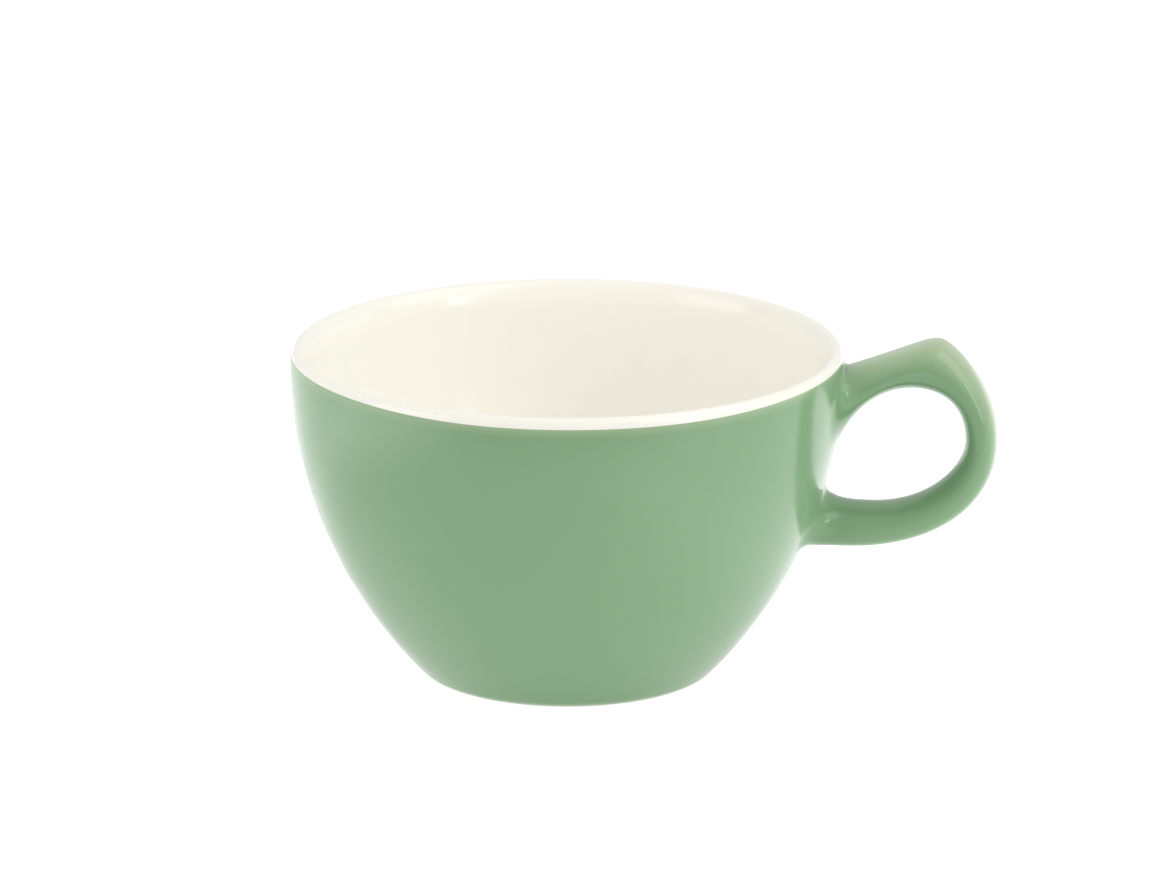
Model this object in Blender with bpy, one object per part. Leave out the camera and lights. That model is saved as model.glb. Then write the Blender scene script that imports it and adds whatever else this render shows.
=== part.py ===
"""A cappuccino cup of glazed ceramic, built piece by piece the way the pottery makes it.

The clay bowl and the clay handle are cast apart and stuck together with two pads of slip. Glaze then goes
on in four coats: white inside and over the rim, green on the bowl, green on the handle and green under the
foot. Sizes are metres. The foot rests on Z = 0, the handle points along +X, and the origin is the middle of
the footprint.
"""

import math

import bmesh
import bpy
from mathutils import Vector
from mathutils.geometry import interpolate_bezier

# Bowl, measured on the finished glaze
RIM_RADIUS = 0.0480
HEIGHT = 0.0582
FOOT_RADIUS = 0.0221
CORNER_RADIUS = 0.0054
RIM_THICKNESS = 0.0034

# Lip: how far its crest lies inside the rim's edge, and how far down it is rounded outside and inside
LIP_EDGE = 0.0013
LIP_ROUND = 0.0020
LIP_DEPTH = 0.0045

# Inside of the bowl: the flat floor ends this far inside the foot, then turns up into the wall
FLOOR_HEIGHT = 0.0065
FLOOR_STEP = 0.0037
WELL_CORNER_RADIUS = 0.0120

# Bare foot ring under the bowl
FOOT_WIDTH = 0.0032
FOOT_RECESS = 0.0024
RECESS_DRAFT = 0.0010

# Coats of glaze, and the seam that keeps two pieces from sharing material. The line where white meets green
# lies this far above the foot of the lip, and the green ends this far above the table.
GLAZE_THICKNESS = 0.0004
SEAM = 0.0003
GLAZE_LINE_RISE = 0.0007
BARE_FOOT_LIFT = 0.00025
SLIP_THICKNESS = 0.0008

# Handle: distances out from the rim, drops below the rim's top and thicknesses across the band
HANDLE_REACH = 0.0268
PEAK_OUT = 0.0166
PEAK_RISE = 0.0028
PEAK_THICKNESS = 0.0084
BACK_DROP = 0.0148
BACK_THICKNESS = 0.0056
HEEL_OUT = 0.0008
HEEL_DROP = 0.0340
HEEL_THICKNESS = 0.0076
UPPER_ROOT_DROP = 0.0026
UPPER_ROOT_HEIGHT = 0.0131
LOWER_ROOT_HEIGHT = 0.0096
HOLE_TOP_SHIFT = 0.0043
HOLE_FLOOR_SHIFT = 0.0044
HANDLE_WIDTH = 0.0115
ROOT_FLARE = 0.0012
FLARE_LENGTH = 0.0050
ROOT_BITE = 0.0045

# How square the handle's section is, outside and in the finger hole: 2 is an ellipse, more is squarer
OUTER_POWER = 2.6
INNER_POWER = 2.0

# Slopes of the handle's edges where they leave the wall
RISE_ANGLE = math.radians(19.3)
UNDER_ARM_ANGLE = math.radians(36.0)
HOLE_CORNER_ANGLE = math.radians(43.0)

# How far each bend of the handle holds its direction, as a share of the run to the next bend
ARM_HOLD = 0.93
PEAK_HOLD_IN = 0.15
PEAK_HOLD_OUT = 0.11
BACK_HOLD_IN = 0.46
BACK_HOLD_OUT = 0.35
HEEL_HOLD = 0.48
UNDER_ARM_HOLD = 0.065
HOLE_TOP_HOLD_IN = 0.575
HOLE_TOP_HOLD_OUT = 0.35
HOLE_SIDE_HOLD_IN = 0.54
HOLE_SIDE_HOLD_OUT = 0.22
HOLE_FLOOR_HOLD_IN = 0.52
HOLE_FLOOR_HOLD_OUT = 0.50
HOLE_CORNER_HOLD = 0.30
STRAIGHT_HOLD = 0.33

# How far the shapes that trim the handle stand above the rim
TRIM_MARGIN = 0.0100

# Fineness of the facets, and of the curve that each bend's points are read from
SEGMENTS = 48
BELLY_STEPS = 8
CORNER_STEPS = 4
LIP_STEPS = 3
BEND_FINENESS = 20
BEND_STEPS = 9
ROOT_STEPS = 3
SECTION_POINTS = 16
SHARP_EDGE = math.radians(35.0)
MERGE_DISTANCE = 1e-6

# Colours of the fired clay, the slip and the two glazes, and how rough bare clay and glaze are
CLAY_COLOUR = (0.78, 0.74, 0.66, 1.0)
SLIP_COLOUR = (0.74, 0.69, 0.60, 1.0)
WHITE_COLOUR = (0.88, 0.86, 0.76, 1.0)
GREEN_COLOUR = (0.23, 0.37, 0.22, 1.0)
BARE_ROUGHNESS = 0.6
GLAZE_ROUGHNESS = 0.15

# Sizes that follow from the ones above
SKIN = GLAZE_THICKNESS + SEAM
AXIS_X = -HANDLE_REACH / 2
CREST_RADIUS = RIM_RADIUS - LIP_EDGE
WALL_TOP = HEIGHT - LIP_ROUND
WELL_TOP = HEIGHT - LIP_DEPTH
GLAZE_LINE_DROP = LIP_ROUND - GLAZE_LINE_RISE
WELL_RIM_RADIUS = RIM_RADIUS - RIM_THICKNESS
WELL_FLOOR_RADIUS = FOOT_RADIUS - FLOOR_STEP


def belly_radius(top_radius, foot_radius, corner, rise):
    """Radius of the arc that stands upright at the top and runs smoothly into the foot's corner arc."""
    run = top_radius - foot_radius
    return (run**2 + rise**2 - corner**2) / (2 * (run - corner))


BELLY_RADIUS = belly_radius(RIM_RADIUS, FOOT_RADIUS, CORNER_RADIUS, WALL_TOP - CORNER_RADIUS)
BELLY_MIDDLE = (RIM_RADIUS - BELLY_RADIUS, WALL_TOP)
CORNER_MIDDLE = (FOOT_RADIUS, CORNER_RADIUS)
WELL_CORNER_MIDDLE = (WELL_FLOOR_RADIUS, FLOOR_HEIGHT + WELL_CORNER_RADIUS)
WELL_RADIUS = belly_radius(
    WELL_RIM_RADIUS, WELL_FLOOR_RADIUS, WELL_CORNER_RADIUS, WELL_TOP - WELL_CORNER_MIDDLE[1]
)
WELL_MIDDLE = (WELL_RIM_RADIUS - WELL_RADIUS, WELL_TOP)


def direction(start, end):
    """Angle of the line from one point of the profile to another."""
    return math.atan2(end[1] - start[1], end[0] - start[0])


TURN_ANGLE = direction(BELLY_MIDDLE, CORNER_MIDDLE)
WELL_TURN_ANGLE = direction(WELL_MIDDLE, WELL_CORNER_MIDDLE)
BARE_ANGLE = math.acos(1 - BARE_FOOT_LIFT / CORNER_RADIUS) - math.pi / 2
STEP_ANGLE = BARE_ANGLE - SEAM / CORNER_RADIUS


def ellipse(middle, across, upright, start, end, steps):
    """Points (radius, height) along part of an ellipse of the profile, both ends included."""
    points = []
    for index in range(steps + 1):
        angle = start + (end - start) * index / steps
        points.append((middle[0] + across * math.cos(angle), middle[1] + upright * math.sin(angle)))
    return points


def arc(middle, radius, start, end, steps):
    """Points (radius, height) along an arc of the profile, both ends included."""
    return ellipse(middle, radius, radius, start, end, steps)


def inner_wall(inset):
    """Inside of the bowl from the middle of the floor up to the crest of the lip."""
    corner = arc(
        WELL_CORNER_MIDDLE, WELL_CORNER_RADIUS + inset, -math.pi / 2, WELL_TURN_ANGLE, CORNER_STEPS
    )
    well = arc(WELL_MIDDLE, WELL_RADIUS + inset, WELL_TURN_ANGLE, 0.0, BELLY_STEPS)
    across = RIM_THICKNESS - LIP_EDGE - inset
    lip = ellipse((CREST_RADIUS, WELL_TOP), across, LIP_DEPTH - inset, math.pi, math.pi / 2, LIP_STEPS)
    return [(0.0, FLOOR_HEIGHT - inset)] + corner + well[1:] + lip[1:]


def outer_lip(inset, start_drop, end_drop):
    """Outer side of the lip between two drops below its crest."""
    start = math.asin(1.0 - start_drop / LIP_ROUND)
    end = math.asin(1.0 - end_drop / LIP_ROUND)
    return ellipse((CREST_RADIUS, WALL_TOP), LIP_EDGE - inset, LIP_ROUND - inset, start, end, LIP_STEPS)


def outer_wall(inset, end_angle):
    """Outside of the bowl from the foot of the lip down to an angle on the foot's corner."""
    belly = arc(BELLY_MIDDLE, BELLY_RADIUS - inset, 0.0, TURN_ANGLE, BELLY_STEPS)
    corner = arc(CORNER_MIDDLE, CORNER_RADIUS - inset, TURN_ANGLE, end_angle, CORNER_STEPS)
    return belly + corner[1:]


def wall_radius(height):
    """Finished outside radius of the bowl at a height on its belly."""
    return BELLY_MIDDLE[0] + math.sqrt(BELLY_RADIUS**2 - (WALL_TOP - height) ** 2)


def new_object(name, solid):
    """Turns a bmesh into a smooth-shaded object on the cup's axis."""
    bmesh.ops.recalc_face_normals(solid, faces=solid.faces)
    mesh = bpy.data.meshes.new(name)
    solid.to_mesh(mesh)
    solid.free()
    mesh.shade_smooth()
    mesh.set_sharp_from_angle(angle=SHARP_EDGE)
    piece = bpy.data.objects.new(name, mesh)
    piece.location.x = AXIS_X
    bpy.context.collection.objects.link(piece)
    return piece


def new_tool(name, solid):
    """A shape that only cuts others and isn't drawn."""
    tool = new_object(name, solid)
    tool.hide_render = True
    tool.display_type = "WIRE"
    return tool


def new_piece(name, solid, colour, roughness=GLAZE_ROUGHNESS):
    """A piece of the cup in its own material."""
    piece = new_object(name, solid)
    material = bpy.data.materials.new(name)
    material.use_nodes = True
    shader = material.node_tree.nodes["Principled BSDF"]
    shader.inputs["Base Color"].default_value = colour
    shader.inputs["Roughness"].default_value = roughness
    piece.data.materials.append(material)
    return piece


def revolve(outline):
    """Spins an outline once round the bowl's axis. One that ends off the axis is closed to its start."""
    solid = bmesh.new()
    corners = [solid.verts.new((radius, 0.0, height)) for radius, height in outline]
    edges = [solid.edges.new(pair) for pair in zip(corners, corners[1:])]
    if outline[-1][0] > 0.0:
        edges.append(solid.edges.new((corners[-1], corners[0])))
    bmesh.ops.spin(
        solid,
        geom=corners + edges,
        axis=(0.0, 0.0, 1.0),
        angle=math.tau,
        steps=SEGMENTS,
        use_merge=True,
    )
    bmesh.ops.remove_doubles(solid, verts=solid.verts, dist=MERGE_DISTANCE)
    return solid


def cut(piece, operation, tool):
    """Adds an exact Boolean of the piece with a tool."""
    modifier = piece.modifiers.new(tool.name, "BOOLEAN")
    modifier.operation = operation
    modifier.solver = "EXACT"
    modifier.object = tool


def heading(angle):
    """Unit step in the handle's plane, turned up from straight out."""
    return Vector((math.cos(angle), 0.0, math.sin(angle)))


OUT = heading(0.0)
DOWN = heading(-math.pi / 2)
IN = heading(math.pi)
SIDE = Vector((0.0, 1.0, 0.0))


def bend(start, start_heading, start_hold, end, end_heading, end_hold, steps):
    """Evenly spaced points on a smooth bend between two points, each end holding its own heading."""
    run = (end - start).length
    leave = start + start_heading * start_hold * run
    arrive = end - end_heading * end_hold * run
    fine = interpolate_bezier(start, leave, arrive, end, BEND_FINENESS * steps)
    lengths = [0.0]
    for before, after in zip(fine, fine[1:]):
        lengths.append(lengths[-1] + (after - before).length)
    points = []
    for index in range(1, steps + 1):
        target = lengths[-1] * index / steps
        place = max(1, next((i for i, length in enumerate(lengths) if length >= target), len(fine) - 1))
        share = (target - lengths[place - 1]) / (lengths[place] - lengths[place - 1])
        points.append(fine[place - 1].lerp(fine[place], min(share, 1.0)))
    return points


def on_wall(drop):
    """Point of the bowl's outside under the handle, at a drop below the rim's top."""
    height = HEIGHT - drop
    return Vector((wall_radius(height), 0.0, height))


def beside_rim(out, drop):
    """Point in the handle's plane, given from the rim's outer edge and top."""
    return Vector((RIM_RADIUS + out, 0.0, HEIGHT - drop))


def outer_guide():
    """The handle's outer edge: up the arm, round the peak, down the back and under to the lower root."""
    root = on_wall(UPPER_ROOT_DROP)
    peak = beside_rim(PEAK_OUT, -PEAK_RISE)
    back = beside_rim(HANDLE_REACH, BACK_DROP)
    heel = beside_rim(HEEL_OUT, HEEL_DROP)
    end = on_wall(HEEL_DROP)
    points = [root]
    points += bend(root, heading(RISE_ANGLE), ARM_HOLD, peak, OUT, PEAK_HOLD_IN, BEND_STEPS)
    points += bend(peak, OUT, PEAK_HOLD_OUT, back, DOWN, BACK_HOLD_IN, BEND_STEPS)
    points += bend(back, DOWN, BACK_HOLD_OUT, heel, IN, HEEL_HOLD, BEND_STEPS)
    points += bend(heel, IN, STRAIGHT_HOLD, end, IN, STRAIGHT_HOLD, ROOT_STEPS)
    return points


def inner_guide():
    """The edge of the finger hole, with as many points as the outer edge."""
    root = on_wall(UPPER_ROOT_DROP + UPPER_ROOT_HEIGHT)
    top = beside_rim(PEAK_OUT - HOLE_TOP_SHIFT, PEAK_THICKNESS - PEAK_RISE)
    side = beside_rim(HANDLE_REACH - BACK_THICKNESS, BACK_DROP)
    floor = beside_rim(HEEL_OUT + HOLE_FLOOR_SHIFT, HEEL_DROP - HEEL_THICKNESS)
    end = on_wall(HEEL_DROP - LOWER_ROOT_HEIGHT)
    points = [root]
    points += bend(root, heading(UNDER_ARM_ANGLE), UNDER_ARM_HOLD, top, OUT, HOLE_TOP_HOLD_IN, BEND_STEPS)
    points += bend(top, OUT, HOLE_TOP_HOLD_OUT, side, DOWN, HOLE_SIDE_HOLD_IN, BEND_STEPS)
    points += bend(side, DOWN, HOLE_SIDE_HOLD_OUT, floor, IN, HOLE_FLOOR_HOLD_IN, BEND_STEPS)
    rise = heading(math.pi - HOLE_CORNER_ANGLE)
    points += bend(floor, IN, HOLE_FLOOR_HOLD_OUT, end, rise, HOLE_CORNER_HOLD, ROOT_STEPS)
    return points


def rounded(value, power):
    """Coordinate on a rounded section for the sine or cosine of an angle."""
    return math.copysign(abs(value) ** (2 / power), value)


def section(outer, inner, inset):
    """Rounded cross-section of the handle between a point of each guide, drawn in by an inset all round."""
    middle = (outer + inner) / 2
    half = (outer - inner) / 2
    off_wall = max(0.0, middle.x - wall_radius(middle.z))
    flare = ROOT_FLARE * max(0.0, 1.0 - off_wall / FLARE_LENGTH) ** 2
    half_width = HANDLE_WIDTH / 2 + flare - inset
    half_height = half.length - inset
    points = []
    for index in range(SECTION_POINTS):
        angle = math.tau * index / SECTION_POINTS
        power = OUTER_POWER if math.cos(angle) > 0.0 else INNER_POWER
        along = half.normalized() * half_height * rounded(math.cos(angle), power)
        across = SIDE * half_width * rounded(math.sin(angle), power)
        points.append(middle + along + across)
    return points


def loft(sections):
    """Closed skin over a row of sections."""
    solid = bmesh.new()
    rings = [[solid.verts.new(point) for point in points] for points in sections]
    for before, after in zip(rings, rings[1:]):
        for index in range(SECTION_POINTS):
            following = (index + 1) % SECTION_POINTS
            solid.faces.new((before[index], before[following], after[following], after[index]))
    solid.faces.new(rings[0])
    solid.faces.new(rings[-1])
    return solid


def sweep_sections(inset):
    """Sections of the whole handle, carried on into the wall at both roots for the wall to trim."""
    sections = [section(outer, inner, inset) for outer, inner in zip(outer_guide(), inner_guide())]
    bite = IN * ROOT_BITE
    first = [point + bite for point in sections[0]]
    last = [point + bite for point in sections[-1]]
    return [first] + sections + [last]


def root_piece(at_start, inset):
    """The stretch of the handle that goes through the wall at one root."""
    sections = sweep_sections(inset)
    return loft(sections[: ROOT_STEPS + 2] if at_start else sections[-ROOT_STEPS - 2 :])


def wall_tool(name, offset):
    """Everything within the bowl's outside, grown by an offset, to trim the handle's pieces with."""
    side = outer_wall(-offset, -math.pi / 2)
    top = [(0.0, HEIGHT + TRIM_MARGIN), (side[0][0], HEIGHT + TRIM_MARGIN)]
    return new_tool(name, revolve(top + side + [(0.0, side[-1][1])]))


def build_bowl():
    """Clay bowl: its faces are set back under their coats, its foot ring is flush with the green coat."""
    inside = inner_wall(SKIN) + outer_lip(SKIN, 0.0, LIP_ROUND)[1:]
    outside = outer_wall(SKIN, STEP_ANGLE)
    bare = arc(CORNER_MIDDLE, CORNER_RADIUS, STEP_ANGLE, -math.pi / 2, CORNER_STEPS)
    ring_inside = FOOT_RADIUS - FOOT_WIDTH
    recess = [(ring_inside, 0.0), (ring_inside - RECESS_DRAFT, FOOT_RECESS), (0.0, FOOT_RECESS)]
    return new_piece("bowl", revolve(inside + outside[1:] + bare + recess), CLAY_COLOUR, BARE_ROUGHNESS)


def build_inner_glaze():
    """White coat over the floor, the wall and the lip, down to the glaze line on the lip's outer side."""
    end = GLAZE_LINE_DROP - SEAM / 2
    face = inner_wall(0.0) + outer_lip(0.0, 0.0, end)[1:]
    back = inner_wall(GLAZE_THICKNESS) + outer_lip(GLAZE_THICKNESS, 0.0, end)[1:]
    return new_piece("inner_glaze", revolve(face + back[::-1]), WHITE_COLOUR)


def build_outer_glaze(openings):
    """Green coat on the bowl, open where the two roots of the handle go through."""
    start = GLAZE_LINE_DROP + SEAM / 2
    face = outer_lip(0.0, start, LIP_ROUND) + outer_wall(0.0, BARE_ANGLE)[1:]
    back = outer_lip(GLAZE_THICKNESS, start, LIP_ROUND) + outer_wall(GLAZE_THICKNESS, BARE_ANGLE)[1:]
    coat = new_piece("outer_glaze", revolve(face + back[::-1]), GREEN_COLOUR)
    for opening in openings:
        cut(coat, "DIFFERENCE", opening)
    return coat


def build_base_glaze():
    """Green coat on the ceiling of the recess inside the foot ring."""
    edge = FOOT_RADIUS - FOOT_WIDTH - RECESS_DRAFT - SEAM
    top = FOOT_RECESS - SEAM
    outline = [(0.0, top), (edge, top), (edge, top - GLAZE_THICKNESS), (0.0, top - GLAZE_THICKNESS)]
    return new_piece("base_glaze", revolve(outline), GREEN_COLOUR)


def build_handle():
    """Clay handle, its roots trimmed to sit on the slip."""
    handle = new_piece("handle", loft(sweep_sections(SKIN)), CLAY_COLOUR, BARE_ROUGHNESS)
    cut(handle, "DIFFERENCE", wall_tool("handle_trim", SLIP_THICKNESS + SEAM - GLAZE_THICKNESS))
    return handle


def build_slip(name, at_start, above, below):
    """Pad of slip between the clay wall and one root of the handle."""
    pad = new_piece(name, root_piece(at_start, SKIN), SLIP_COLOUR, BARE_ROUGHNESS)
    cut(pad, "INTERSECT", above)
    cut(pad, "DIFFERENCE", below)
    return pad


def build_handle_glaze():
    """Green sleeve round the handle, open at both roots and resting on the bowl's green coat."""
    sleeve = new_piece("handle_glaze", loft(sweep_sections(0.0)), GREEN_COLOUR)
    cut(sleeve, "DIFFERENCE", new_tool("handle_core", loft(sweep_sections(GLAZE_THICKNESS))))
    cut(sleeve, "DIFFERENCE", wall_tool("sleeve_trim", SEAM))
    return sleeve


def build_cup():
    """Builds every piece of the cup."""
    for leftover in list(bpy.data.objects):
        bpy.data.objects.remove(leftover)
    openings = [
        new_tool("upper_opening", root_piece(True, GLAZE_THICKNESS)),
        new_tool("lower_opening", root_piece(False, GLAZE_THICKNESS)),
    ]
    slip_above = wall_tool("slip_above", SLIP_THICKNESS - GLAZE_THICKNESS)
    slip_below = wall_tool("slip_below", -GLAZE_THICKNESS)
    build_bowl()
    build_inner_glaze()
    build_outer_glaze(openings)
    build_base_glaze()
    build_handle()
    build_slip("upper_slip", True, slip_above, slip_below)
    build_slip("lower_slip", False, slip_above, slip_below)
    build_handle_glaze()


build_cup()
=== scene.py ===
"""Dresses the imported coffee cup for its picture: glazed surfaces, bare clay, soft studio light, a camera.

Lengths are metres. Each piece is drawn round the bowl's axis, with the foot on Z = 0 and the handle at +X.
"""

import math

import bmesh
import bpy
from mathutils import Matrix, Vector
from mathutils.geometry import interpolate_bezier


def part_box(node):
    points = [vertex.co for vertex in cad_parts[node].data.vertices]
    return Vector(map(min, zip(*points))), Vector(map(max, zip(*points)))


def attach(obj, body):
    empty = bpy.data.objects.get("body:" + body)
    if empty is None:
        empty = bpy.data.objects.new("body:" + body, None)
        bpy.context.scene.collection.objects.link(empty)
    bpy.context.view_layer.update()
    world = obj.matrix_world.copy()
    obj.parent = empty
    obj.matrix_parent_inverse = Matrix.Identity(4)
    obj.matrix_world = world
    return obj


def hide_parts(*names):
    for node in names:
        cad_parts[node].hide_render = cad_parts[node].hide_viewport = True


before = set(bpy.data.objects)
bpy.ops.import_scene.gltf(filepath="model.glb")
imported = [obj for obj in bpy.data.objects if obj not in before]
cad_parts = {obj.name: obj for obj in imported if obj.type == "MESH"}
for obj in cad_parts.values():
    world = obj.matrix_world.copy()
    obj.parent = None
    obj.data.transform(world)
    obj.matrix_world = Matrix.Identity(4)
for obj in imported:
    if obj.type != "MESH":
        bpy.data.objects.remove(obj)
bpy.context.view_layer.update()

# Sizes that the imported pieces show, less what rounding could add
ROUNDING = 0.000002
well_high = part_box("inner_glaze")[1]
wall_low, wall_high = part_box("outer_glaze")
sleeve_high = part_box("handle_glaze")[1]
AXIS_X = (wall_low.x + wall_high.x) / 2
RIM_RADIUS = (wall_high.x - wall_low.x) / 2
HEIGHT = well_high.z
HANDLE_REACH = sleeve_high.x - wall_high.x - ROUNDING
PEAK_RISE = sleeve_high.z - HEIGHT - ROUNDING

# Bowl, measured on the finished glaze
FOOT_RADIUS = 0.0221
CORNER_RADIUS = 0.0054
RIM_THICKNESS = 0.0034
LIP_EDGE = 0.0013
LIP_ROUND = 0.0020
LIP_DEPTH = 0.0045
FLOOR_HEIGHT = 0.0065
FLOOR_STEP = 0.0037
WELL_CORNER_RADIUS = 0.0120

# Bare foot ring, with its edges softened
FOOT_WIDTH = 0.0032
FOOT_RECESS = 0.0024
RECESS_DRAFT = 0.0010
RING_EDGE = 0.0005
RECESS_EDGE = 0.0008
BARE_FOOT_LIFT = 0.00025
BARE_INSET = 0.00025

# Coats of glaze
GLAZE_THICKNESS = 0.0004
COAT_GAP = 0.00002
LINE_DROP = 0.0009
LINE_SAG = 0.0009
LINE_SAG_TURN = math.radians(288.0)
LINE_WAVE = 0.00006
COAT_EDGE = 0.0003
THIN_REACH = 0.0007
LIP_THIN_REACH = 0.0024
# Reach of the thin glaze and painted light round the handle's peak
PEAK_THIN_AND_LIGHT_REACH = 0.0180
# Height over which the painted shade above the foot fades
FOOT_SHADE_RISE = 0.0060

# Ripples of the glaze line: how many go round, where in its wave each starts, and its share
LINE_RIPPLES = ((3, 0.7, 1.0), (7, 2.1, 0.6))

# Shares of the thin glaze's colour at the glaze line and on the lip, and of thin glaze with painted light on
# the handle's peak
LINE_THIN = 0.55
PEAK_THIN_AND_LIGHT = 0.80
LIP_THIN = 0.55

# Shares of painted shade above the foot and on the handle's flanks, and of the pooled glaze's colour with
# painted shade in its fillets
FOOT_SHADE = 0.80
FLANK_SHADE = 0.22
ROOT_POOL_AND_SHADE = 0.22

# Handle: distances out from the rim, drops below the rim's top and thicknesses across the band
PEAK_OUT = 0.0166
PEAK_THICKNESS = 0.0084
BACK_DROP = 0.0148
BACK_THICKNESS = 0.0056
HEEL_OUT = 0.0008
HEEL_DROP = 0.0340
HEEL_THICKNESS = 0.0076
UPPER_ROOT_DROP = 0.0026
UPPER_ROOT_HEIGHT = 0.0131
LOWER_ROOT_HEIGHT = 0.0096
HOLE_TOP_SHIFT = 0.0043
HOLE_FLOOR_SHIFT = 0.0044
HANDLE_WIDTH = 0.0115
ROOT_FLARE = 0.0012
FLARE_LENGTH = 0.0050
ROOT_BITE = 0.0045

# How square the handle's section is on its outer side and in the finger hole; 2 is round
OUTER_POWER = 2.6
INNER_POWER = 2.0

# Slopes of the handle's edges where they leave the wall
RISE_ANGLE = math.radians(19.3)
UNDER_ARM_ANGLE = math.radians(36.0)
HOLE_CORNER_ANGLE = math.radians(43.0)

# How far each bend of the handle holds its direction, as a share of the run to the next bend
ARM_HOLD = 0.93
PEAK_HOLD_IN = 0.15
PEAK_HOLD_OUT = 0.11
BACK_HOLD_IN = 0.46
BACK_HOLD_OUT = 0.35
HEEL_HOLD = 0.48
UNDER_ARM_HOLD = 0.065
HOLE_TOP_HOLD_IN = 0.575
HOLE_TOP_HOLD_OUT = 0.35
HOLE_SIDE_HOLD_IN = 0.54
HOLE_SIDE_HOLD_OUT = 0.22
HOLE_FLOOR_HOLD_IN = 0.52
HOLE_FLOOR_HOLD_OUT = 0.50
HOLE_CORNER_HOLD = 0.30
STRAIGHT_HOLD = 0.33

# Fillets where the handle runs into the wall: their reach on the outer edge, the sides and the inner edge
UPPER_FILLET = (0.0005, 0.0048, 0.0006)
LOWER_FILLET = (0.0008, 0.0040, 0.0012)

# Patches of the wall that the roots come out of, as drops below the glaze line or the rim's top
UPPER_PATCH_START = 0.0005
UPPER_PATCH_END = 0.0205
LOWER_PATCH_START = 0.0212
LOWER_PATCH_END = 0.0382

# Fineness of the surfaces, and how many of the handle's rings each root takes up
SEGMENTS = 160
PATCH_STEPS = 16
BELLY_STEPS = 12
CORNER_STEPS = 12
WELL_STEPS = 32
LIP_STEPS = 12
LIP_ROWS = 2
FLOOR_STEPS = 8
EDGE_STEPS = 4
BEND_STEPS = 28
ROOT_STEPS = 9
SECTION_POINTS = 4 * PATCH_STEPS
APRON_STEPS = 4
FILLET_STEPS = 12
LEAD_STEPS = 6
ROOT_RINGS = 13
BEND_FINENESS = 20
SHARP_EDGE = math.radians(40.0)
POLE_RADIUS = 0.00001

# Colours, linear
GREEN = (0.196, 0.332, 0.184, 1.0)
# Deep green of the specks and of pooled glaze, also laid on as painted shade
GREEN_DEEP_AND_SHADE = (0.105, 0.245, 0.085, 1.0)
# Pale green of thin glaze, also laid on the handle's top as painted light
GREEN_THIN_AND_LIT = (0.390, 0.472, 0.300, 1.0)
WHITE = (0.898, 0.890, 0.820, 1.0)
WHITE_WARM = (0.914, 0.880, 0.806, 1.0)
WHITE_THIN = (0.765, 0.735, 0.665, 1.0)
CLAY = (0.760, 0.710, 0.620, 1.0)
CLAY_DARK = (0.560, 0.500, 0.420, 1.0)
SLIP = (0.720, 0.670, 0.580, 1.0)
FLOOR = (0.100, 0.100, 0.100, 1.0)
CARD = (0.400, 0.400, 0.400, 1.0)
PURE_WHITE = (1.0, 1.0, 1.0, 1.0)

# Shades of the green's clouds, the white's specks, the clay's mottling and scuffs, and the studio's sheets
GREEN_CLOUD_SHADE = 1.06
WHITE_SPECK_SHADE = 0.85
MOTTLE_SHADE = 0.93
SCUFF_SHADE = 0.60
SHEET_SHADE = 0.99

# Patterns: waves per metre, detail, and the noise at which a patch starts and at which it is full
CLOUDS = (14.0, 3.0, 0.35, 0.65)
SPECKS = (1600.0, 1.0, 0.70, 0.78)
GLOSS = (110.0, 3.0, 0.30, 0.70)
MOTTLE = (120.0, 4.0, 0.30, 0.70)
GRAINS = (2600.0, 2.0, 0.62, 0.72)
SCUFFS = (1600.0, 4.0, 0.35, 0.75)
MATTE = (900.0, 3.0, 0.30, 0.70)

# Plain noise of the studio's sheets: waves per metre and detail
SHEET_NOISE = (3.0, 2.0)

# Unevenness of the glaze and of the clay: waves per metre, detail, strength and depth
PEEL = (320.0, 2.0, 0.12, 0.0001)
TOOTH = (2400.0, 4.0, 0.40, 0.00008)

# How much the specks, grains and scuffs show, and how high above the table the clay is scuffed
SPECK_SHARE = 0.10
GRAIN_SHARE = 0.35
SCUFF_SHARE = 0.35
CONTACT_HEIGHT = 0.0004

# Finish: the glaze's roughness varies by its spread, the clay's between two values
GREEN_ROUGHNESS = 0.18
WHITE_ROUGHNESS = 0.15
GLOSS_SPREAD = 0.25
GLAZE_IOR = 1.5
CLAY_ROUGHNESS = (0.55, 0.75)
SHEET_ROUGHNESS = 0.80

# Camera: where the photo was taken from, seen from the middle of the rim; lens and sensor in millimetres
VIEW_DISTANCE = 1.95
VIEW_ELEVATION = math.radians(15.0)
VIEW_TURN = math.radians(5.5)
AIM_RIGHT = 0.00308
AIM_DOWN = 0.01720
LENS = 346.4
SENSOR = 36.0

# Studio: the floor glows more on the right, behind the cup and far to the left, and less far to the right
FLOOR_SIZE = 12.0
FLOOR_GAP = 0.0001
SHEET_STEPS = 8
FLOOR_GLOW = 0.95
RIGHT_GLOW = 0.28
GLOW_START = 0.02
GLOW_END = 0.06
FAR_FADE = 0.32
FADE_START = 0.12
FADE_END = 0.30
LEFT_GLOW = 0.90
LEFT_START = -0.115
LEFT_END = -0.20
BACK_GLOW = 0.28
BACK_START = -0.01
BACK_END = 0.06
SURROUND_LIGHT = 0.85

# Grey card on the floor ahead of the cup, which keeps the front of the bowl from mirroring a white floor
CARD_START = -0.125
CARD_FADE = 0.095
CARD_LIFT = 0.001

# Soft boxes: where each stands, its width, its height and its watts
SOFT_BOXES = {
    "left_box": ((-1.1, -0.5, 0.5), 0.8, 0.8, 3.2),
    "high_box": ((1.1, -0.4, 1.2), 1.5, 1.5, 9.8),
    "strip_box": ((0.9, -0.62, 0.25), 0.14, 0.45, 1.1),
}

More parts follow.
